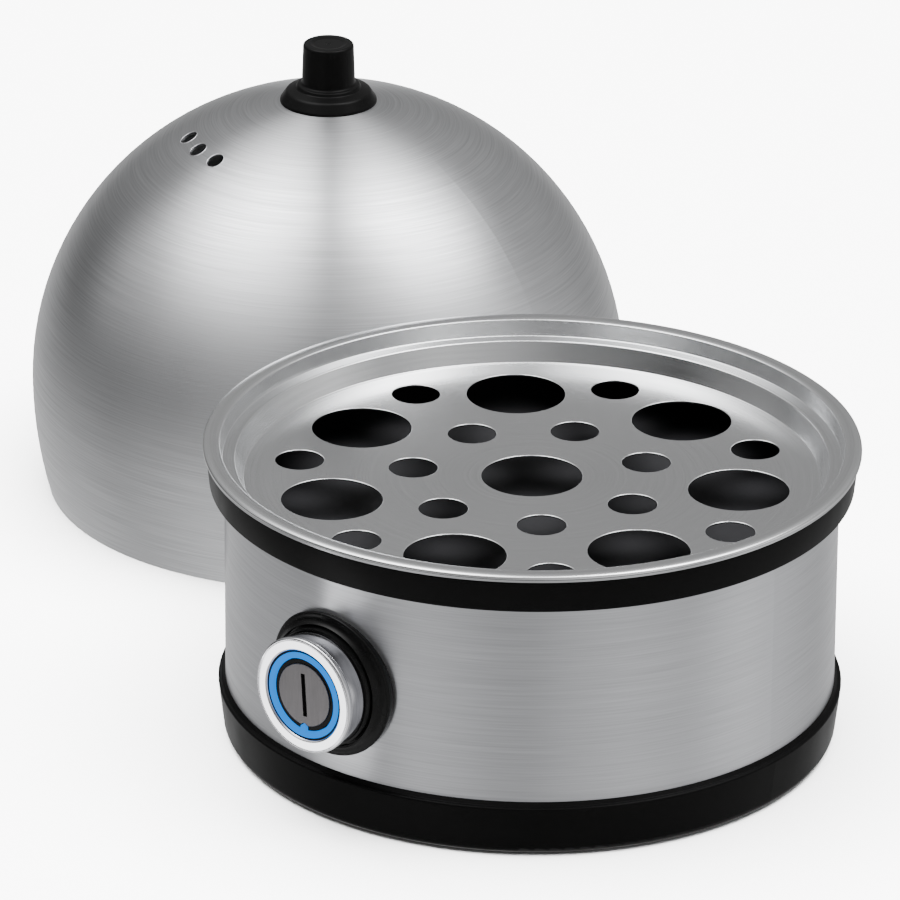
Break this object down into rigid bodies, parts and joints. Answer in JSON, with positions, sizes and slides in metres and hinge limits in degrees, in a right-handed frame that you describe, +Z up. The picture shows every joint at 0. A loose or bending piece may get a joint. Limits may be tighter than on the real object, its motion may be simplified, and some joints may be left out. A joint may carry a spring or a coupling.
{
  "type": "egg_cooker",
  "caption": "Round electric egg cooker: brushed steel base with black rings, lift-out tray of egg seats, lit push button and a domed steel lid with a black knob standing beside it",
  "frame": {"origin": "Centre of the foot ring, on the base's vertical axis at table level", "axes": "+Z up, -Y towards the push button, +X to the right of a person facing the button"},
  "size_m": [0.3529, 0.2936, 0.1463],
  "materials": {
    "brushed_shell": "fine brushed stainless steel, brushed round the band",
    "brushed_dome": "brushed stainless steel, turned round the lid's axis",
    "pressed_tray": "satin pressed stainless steel",
    "pressed_bowl": "satin deep-drawn stainless steel, with a dark non-stick coat inside its flange",
    "black_casing": "satin black polypropylene",
    "black_button": "satin black ABS",
    "black_knob": "satin black phenolic resin",
    "foot_rubber": "matt black rubber",
    "silicone": "grey silicone",
    "gland_rubber": "satin black PVC",
    "chrome_trim": "bright chrome plate",
    "blue_lens": "translucent blue polycarbonate, lit from behind",
    "satin_disc": "fine satin anodised aluminium",
    "zinc_hardware": "zinc-plated steel",
    "spring_steel": "drawn spring steel",
    "cast_spreader": "cast aluminium",
    "element_sheath": "heat-tinted nickel-alloy sheath",
    "thermostat_body": "cream phenolic with a steel cap",
    "fuse_sleeve": "white glass-fibre sleeve",
    "terminal_nylon": "natural nylon",
    "board": "green glass-epoxy board",
    "switch_body": "black glass-filled nylon",
    "wire_brown": "brown silicone insulation",
    "wire_blue": "blue silicone insulation",
    "wire_green": "green and yellow silicone insulation"
  },
  "bodies": {
    "base": {"base_housing": "black_casing", "bottom_cover": "black_casing", "cover_screws": "zinc_hardware", "foot_ring": "foot_rubber", "cord_gland": "gland_rubber", "shell_band": "brushed_shell", "top_ring": "black_casing", "heating_bowl": "pressed_bowl", "bowl_gasket": "silicone", "bowl_mount_ring": "zinc_hardware", "bowl_studs": "zinc_hardware", "standoff_1": "zinc_hardware", "standoff_2": "zinc_hardware", "standoff_3": "zinc_hardware", "standoff_screws": "zinc_hardware", "heat_spreader": "cast_spreader", "heater_element": "element_sheath", "thermostat": "thermostat_body", "thermostat_bracket": "zinc_hardware", "bracket_screws": "zinc_hardware", "thermal_fuse": "fuse_sleeve", "terminal_block": "terminal_nylon", "terminal_screws": "zinc_hardware", "earth_tag": "zinc_hardware", "buzzer": "switch_body", "wire_live": "wire_brown", "wire_switched": "wire_brown", "wire_heater": "wire_brown", "wire_neutral": "wire_blue", "wire_earth": "wire_green", "button_collar": "black_casing", "collar_nut": "black_casing", "saddle_washer": "black_casing", "chrome_bezel": "chrome_trim", "lens_retainer": "black_button", "light_ring": "blue_lens", "led_board": "board", "switch_module": "switch_body"},
    "tray": {"egg_tray": "pressed_tray"},
    "lid": {"lid_dome": "brushed_dome", "lid_knob": "black_knob", "knob_washer": "zinc_hardware", "knob_screw": "zinc_hardware"},
    "button": {"button_cap": "black_button", "button_disc": "satin_disc", "button_spring": "spring_steel"}
  },
  "joints": [
    {"name": "tray_lift", "type": "slide", "parent": "base", "child": "tray", "axis": [0, 0, 1], "range_m": [0, 0.08]},
    {"name": "lid_lift", "type": "slide", "parent": "base", "child": "lid", "axis": [0, 0, 1], "range_m": [0, 0.2]},
    {"name": "button_press", "type": "slide", "parent": "base", "child": "button", "axis": [0, 1, 0], "range_m": [0, 0.0025], "stiffness_N_per_m": 400, "springref_m": -0.002, "deforming": ["button_spring"]}
  ]
}
